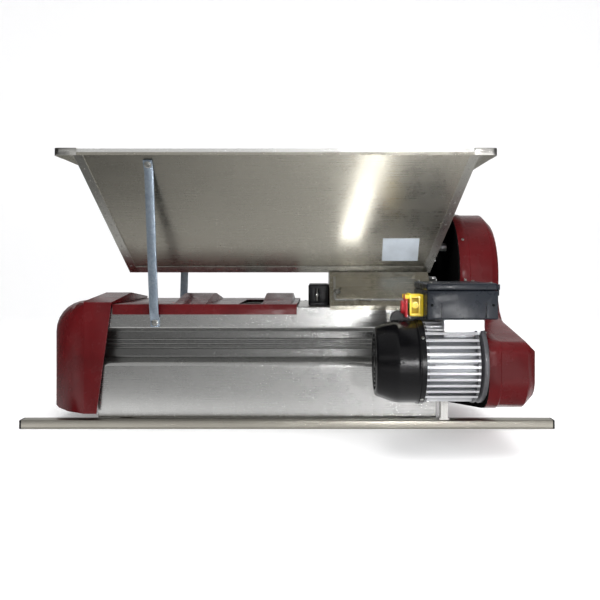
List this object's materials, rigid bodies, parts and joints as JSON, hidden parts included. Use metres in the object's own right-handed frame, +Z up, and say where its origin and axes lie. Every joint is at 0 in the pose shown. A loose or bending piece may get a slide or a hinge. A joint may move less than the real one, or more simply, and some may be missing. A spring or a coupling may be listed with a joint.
{
  "type": "grape crusher destemmer",
  "caption": "Electric grape crusher destemmer: open steel hopper with feed auger over crushing rollers and a paddle drum, with motor, belt guard and rails.",
  "frame": {"origin": "on the floor, at the middle of the machine's box seen from above", "axes": "+X along the rails towards the belt guard, +Y from the motor side to the back, +Z up"},
  "size_m": [1.2, 0.672, 0.615],
  "materials": {
    "stainless": "brushed stainless sheet with a soft vertical grain, spot-weld dimples and bright folded edges",
    "galvanised": "zinc-plated flat bar, blue-grey and slightly blotchy",
    "red_paint": "dark wine-red powder coat with a fine orange-peel",
    "black_paint": "black powder coat",
    "black_plastic": "black moulded plastic, satin",
    "yellow_plastic": "yellow moulded plastic",
    "red_plastic": "red moulded plastic",
    "green_plastic": "green moulded plastic",
    "rubber": "matt black rubber",
    "machined_steel": "turned and milled steel",
    "aluminium": "pale cast and extruded aluminium with a satin face",
    "label": "plain silver-blue plate with no print"
  },
  "bodies": {
    "root": {"rail_front": "stainless", "rail_rear": "stainless", "cross_member_left": "stainless", "cross_member_right": "stainless", "tub_front_panel": "stainless", "tub_rear_panel": "stainless", "tub_left_plate": "stainless", "tub_right_plate": "stainless", "tub_deck": "stainless", "destemming_trough": "stainless", "crusher_frame": "stainless", "crusher_front_panel": "stainless", "hopper_front_wall": "stainless", "hopper_rear_wall": "stainless", "hopper_left_wall": "stainless", "hopper_right_wall": "stainless", "hopper_trough": "stainless", "guard_leg": "stainless", "rim_cap_front_left": "stainless", "rim_cap_front_right": "stainless", "rim_cap_rear_left": "stainless", "rim_cap_rear_right": "stainless", "strut_front": "galvanised", "strut_rear": "galvanised", "top_cover": "red_paint", "stem_cover": "red_paint", "guard_cover": "red_paint", "guard_back_plate": "black_paint", "rail_cap_front_left": "black_plastic", "rail_cap_front_right": "black_plastic", "rail_cap_rear_left": "black_plastic", "rail_cap_rear_right": "black_plastic", "roller_bearing_block": "black_plastic", "fan_cover": "black_plastic", "switch_box": "black_plastic", "switch_box_lid": "black_plastic", "power_inlet": "black_plastic", "safety_switch": "yellow_plastic", "v_belt": "rubber", "bearing_hub": "machined_steel", "crusher_chain": "machined_steel", "auger_chain": "machined_steel", "motor_housing": "aluminium", "motor_flange": "aluminium", "rating_plate": "label"},
    "motor_rotor": {"motor_shaft": "machined_steel", "cooling_fan": "black_plastic", "motor_pulley": "machined_steel"},
    "destemmer": {"destemmer_shaft": "machined_steel", "destemmer_pulley": "machined_steel", "destemmer_sprocket": "machined_steel"},
    "front_roller": {"roller_front": "machined_steel", "roller_front_gear": "machined_steel", "roller_sprocket": "machined_steel"},
    "rear_roller": {"roller_rear": "machined_steel", "roller_rear_gear": "machined_steel"},
    "feed_auger": {"auger": "machined_steel", "auger_sprocket": "machined_steel"},
    "flap": {"stop_flap": "red_plastic"},
    "button": {"start_button": "green_plastic"}
  },
  "joints": [
    {"name": "destemmer_spin", "type": "hinge", "parent": "root", "child": "destemmer", "pos_m": [0, 0.086, 0.16], "axis": [1, 0, 0], "continuous": true},
    {"name": "motor_spin", "type": "hinge", "parent": "root", "child": "motor_rotor", "pos_m": [0.3, -0.254, 0.178], "axis": [1, 0, 0], "continuous": true},
    {"name": "front_roller_spin", "type": "hinge", "parent": "root", "child": "front_roller", "pos_m": [0.2, 0.048, 0.3], "axis": [1, 0, 0], "continuous": true},
    {"name": "rear_roller_spin", "type": "hinge", "parent": "root", "child": "rear_roller", "pos_m": [0.2, 0.124, 0.3], "axis": [1, 0, 0], "continuous": true},
    {"name": "auger_spin", "type": "hinge", "parent": "root", "child": "feed_auger", "pos_m": [0, 0.086, 0.412], "axis": [1, 0, 0], "continuous": true},
    {"name": "stop_flap_hinge", "type": "hinge", "parent": "root", "child": "flap", "pos_m": [0.243, -0.244, 0.306], "axis": [0, 1, 0], "range_deg": [0, 100]},
    {"name": "start_button_press", "type": "slide", "parent": "root", "child": "button", "axis": [1, 0, 0], "range_m": [0, 0.003], "stiffness_N_per_m": 400}
  ],
  "couplings": [
    {"joint": "motor_spin", "follows": "destemmer_spin", "ratio": 3.2812},
    {"joint": "front_roller_spin", "follows": "destemmer_spin", "ratio": 0.41379},
    {"joint": "rear_roller_spin", "follows": "destemmer_spin", "ratio": -0.41379},
    {"joint": "auger_spin", "follows": "destemmer_spin", "ratio": 0.15172}
  ]
}
